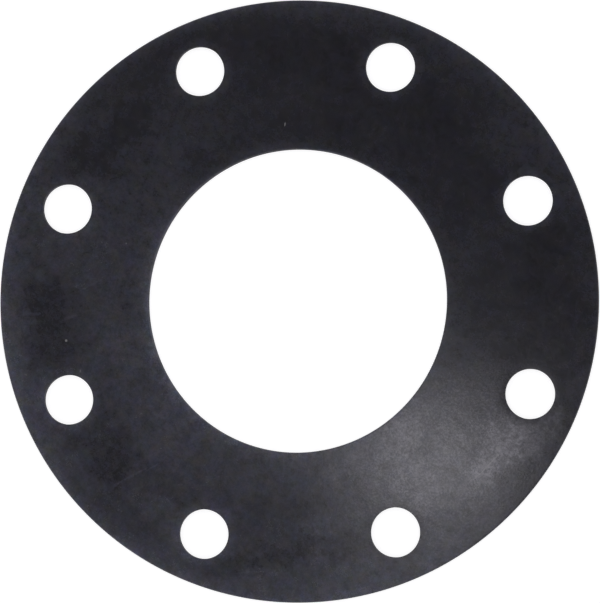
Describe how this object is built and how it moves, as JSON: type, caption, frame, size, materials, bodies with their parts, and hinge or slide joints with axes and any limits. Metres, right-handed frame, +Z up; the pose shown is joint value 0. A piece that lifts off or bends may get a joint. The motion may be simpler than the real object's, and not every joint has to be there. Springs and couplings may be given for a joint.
{
  "type": "rubber flange gasket",
  "caption": "Flat black rubber ring with a wide bore and a circle of bolt holes, clamped between two pipe flanges to seal the joint.",
  "frame": {"origin": "centre of the bore, on the underside of the sheet", "axes": "+Z up through the sheet along the bore's axis, towards the face that the cutting die entered; X and Y are the flange's centrelines, which the bolt holes straddle"},
  "size_m": [0.2286, 0.2286, 0.0032],
  "materials": {
    "rubber": "satin"
  },
  "bodies": {
    "root": {"flange_gasket": "rubber"}
  },
  "joints": []
}
